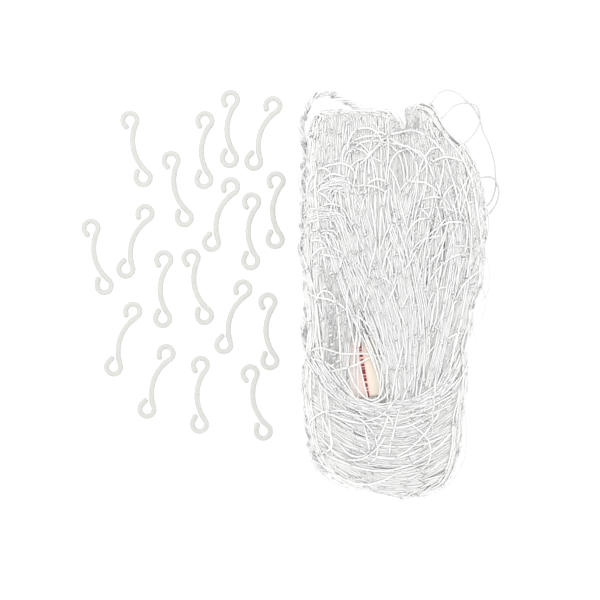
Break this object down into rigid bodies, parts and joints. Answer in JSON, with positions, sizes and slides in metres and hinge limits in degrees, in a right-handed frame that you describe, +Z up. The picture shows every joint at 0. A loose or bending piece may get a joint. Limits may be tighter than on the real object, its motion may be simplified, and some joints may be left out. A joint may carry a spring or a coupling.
{
  "type": "sports net",
  "caption": "White knotted twine sports net, folded into a flat hank with its border rope and paper label, beside its moulded clips with an open loop at each end.",
  "frame": {"origin": "middle of the whole set's footprint on the floor, measured without the loose lacing loops", "axes": "+X to the hank's side of the set, +Y along the hank to the tops of its folds, +Z up off the floor"},
  "size_m": [0.3764, 0.3693, 0.0439],
  "materials": {
    "net_twine": "twisted polyethylene twine, satin",
    "border_rope": "laid rope, satin",
    "lacing_twine": "twisted polyethylene twine, satin",
    "label": "printed paper, matte",
    "clip_plastic": "moulded polypropylene, satin"
  },
  "bodies": {
    "net": {"net_left_fold": "net_twine", "net_right_fold": "net_twine", "net_wrapped_end": "net_twine", "border_rope": "border_rope", "label": "label", "lacing_loop_long": "lacing_twine", "lacing_loop_short": "lacing_twine", "lacing_loop_side": "lacing_twine"},
    "clip_01": {"clip_01": "clip_plastic"},
    "clip_02": {"clip_02": "clip_plastic"},
    "clip_03": {"clip_03": "clip_plastic"},
    "clip_04": {"clip_04": "clip_plastic"},
    "clip_05": {"clip_05": "clip_plastic"},
    "clip_06": {"clip_06": "clip_plastic"},
    "clip_07": {"clip_07": "clip_plastic"},
    "clip_08": {"clip_08": "clip_plastic"},
    "clip_09": {"clip_09": "clip_plastic"},
    "clip_10": {"clip_10": "clip_plastic"},
    "clip_11": {"clip_11": "clip_plastic"},
    "clip_12": {"clip_12": "clip_plastic"},
    "clip_13": {"clip_13": "clip_plastic"},
    "clip_14": {"clip_14": "clip_plastic"},
    "clip_15": {"clip_15": "clip_plastic"},
    "clip_16": {"clip_16": "clip_plastic"},
    "clip_17": {"clip_17": "clip_plastic"},
    "clip_18": {"clip_18": "clip_plastic"}
  },
  "joints": [
    {"name": "clip_01_lift", "type": "slide", "parent": "net", "child": "clip_01", "axis": [0, 0, 1], "range_m": [0, 0.08]},
    {"name": "clip_02_lift", "type": "slide", "parent": "net", "child": "clip_02", "axis": [0, 0, 1], "range_m": [0, 0.08]},
    {"name": "clip_03_lift", "type": "slide", "parent": "net", "child": "clip_03", "axis": [0, 0, 1], "range_m": [0, 0.08]},
    {"name": "clip_04_lift", "type": "slide", "parent": "net", "child": "clip_04", "axis": [0, 0, 1], "range_m": [0, 0.08]},
    {"name": "clip_05_lift", "type": "slide", "parent": "net", "child": "clip_05", "axis": [0, 0, 1], "range_m": [0, 0.08]},
    {"name": "clip_06_lift", "type": "slide", "parent": "net", "child": "clip_06", "axis": [0, 0, 1], "range_m": [0, 0.08]},
    {"name": "clip_07_lift", "type": "slide", "parent": "net", "child": "clip_07", "axis": [0, 0, 1], "range_m": [0, 0.08]},
    {"name": "clip_08_lift", "type": "slide", "parent": "net", "child": "clip_08", "axis": [0, 0, 1], "range_m": [0, 0.08]},
    {"name": "clip_09_lift", "type": "slide", "parent": "net", "child": "clip_09", "axis": [0, 0, 1], "range_m": [0, 0.08]},
    {"name": "clip_10_lift", "type": "slide", "parent": "net", "child": "clip_10", "axis": [0, 0, 1], "range_m": [0, 0.08]},
    {"name": "clip_11_lift", "type": "slide", "parent": "net", "child": "clip_11", "axis": [0, 0, 1], "range_m": [0, 0.08]},
    {"name": "clip_12_lift", "type": "slide", "parent": "net", "child": "clip_12", "axis": [0, 0, 1], "range_m": [0, 0.08]},
    {"name": "clip_13_lift", "type": "slide", "parent": "net", "child": "clip_13", "axis": [0, 0, 1], "range_m": [0, 0.08]},
    {"name": "clip_14_lift", "type": "slide", "parent": "net", "child": "clip_14", "axis": [0, 0, 1], "range_m": [0, 0.08]},
    {"name": "clip_15_lift", "type": "slide", "parent": "net", "child": "clip_15", "axis": [0, 0, 1], "range_m": [0, 0.08]},
    {"name": "clip_16_lift", "type": "slide", "parent": "net", "child": "clip_16", "axis": [0, 0, 1], "range_m": [0, 0.08]},
    {"name": "clip_17_lift", "type": "slide", "parent": "net", "child": "clip_17", "axis": [0, 0, 1], "range_m": [0, 0.08]},
    {"name": "clip_18_lift", "type": "slide", "parent": "net", "child": "clip_18", "axis": [0, 0, 1], "range_m": [0, 0.08]}
  ]
}
